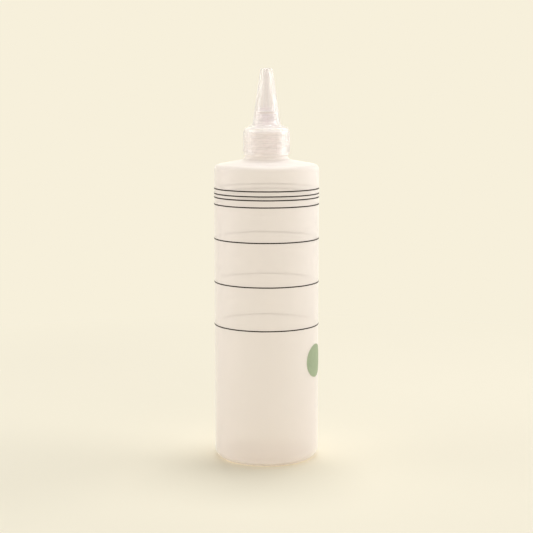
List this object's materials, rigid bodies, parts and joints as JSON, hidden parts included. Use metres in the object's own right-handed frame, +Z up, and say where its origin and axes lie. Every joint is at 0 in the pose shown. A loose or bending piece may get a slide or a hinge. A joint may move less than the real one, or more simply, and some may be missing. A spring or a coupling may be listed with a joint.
{
  "type": "mixing bottle",
  "caption": "Round translucent squeeze bottle with printed fill lines, a ribbed screw cap and a conical twist-open spout, for mixing and pouring diluted shampoo.",
  "frame": {"origin": "middle of the base, on the surface that the bottle stands on", "axes": "+Z up along the bottle's axis, -Y towards the front of the print, +X to the right as seen from the front"},
  "size_m": [0.0624, 0.0624, 0.232],
  "materials": {
    "frosted_plastic": "milky translucent natural polyethylene with a soft satin skin",
    "cap_plastic": "milky translucent natural polyethylene, satin",
    "spout_plastic": "clearer translucent natural polyethylene with a soft gloss",
    "washer_foam": "white foamed polyethylene",
    "seal_rubber": "pale soft elastomer",
    "black_ink": "screen-printed black ink",
    "green_sticker": "pale green adhesive sticker"
  },
  "bodies": {
    "bottle_body": {"bottle": "frosted_plastic", "colour_dot": "green_sticker", "fill_line_1": "black_ink", "fill_line_2": "black_ink", "fill_line_3": "black_ink", "fill_line_4": "black_ink", "fill_line_5": "black_ink", "fill_line_6": "black_ink", "fill_line_7": "black_ink"},
    "washer": {"sealing_washer": "washer_foam"},
    "cap": {"screw_cap": "cap_plastic"},
    "seal_ring": {"spout_seal_ring": "seal_rubber"},
    "spout": {"twist_spout": "spout_plastic"}
  },
  "joints": [
    {"name": "cap_rise", "type": "slide", "parent": "bottle_body", "child": "washer", "axis": [0, 0, 1], "range_m": [0, 0.00476]},
    {"name": "cap_turn", "type": "hinge", "parent": "washer", "child": "cap", "pos_m": [0, 0, 0.19], "axis": [0, 0, 1], "range_deg": [0, 540]},
    {"name": "spout_rise", "type": "slide", "parent": "cap", "child": "seal_ring", "axis": [0, 0, 1], "range_m": [0, 0.0025]},
    {"name": "spout_turn", "type": "hinge", "parent": "seal_ring", "child": "spout", "pos_m": [0, 0, 0.205], "axis": [0, 0, 1], "range_deg": [0, 360]}
  ],
  "couplings": [
    {"joint": "cap_rise", "follows": "cap_turn", "m_per_rad": 0.0005053},
    {"joint": "spout_rise", "follows": "spout_turn", "m_per_rad": 0.00039788}
  ]
}
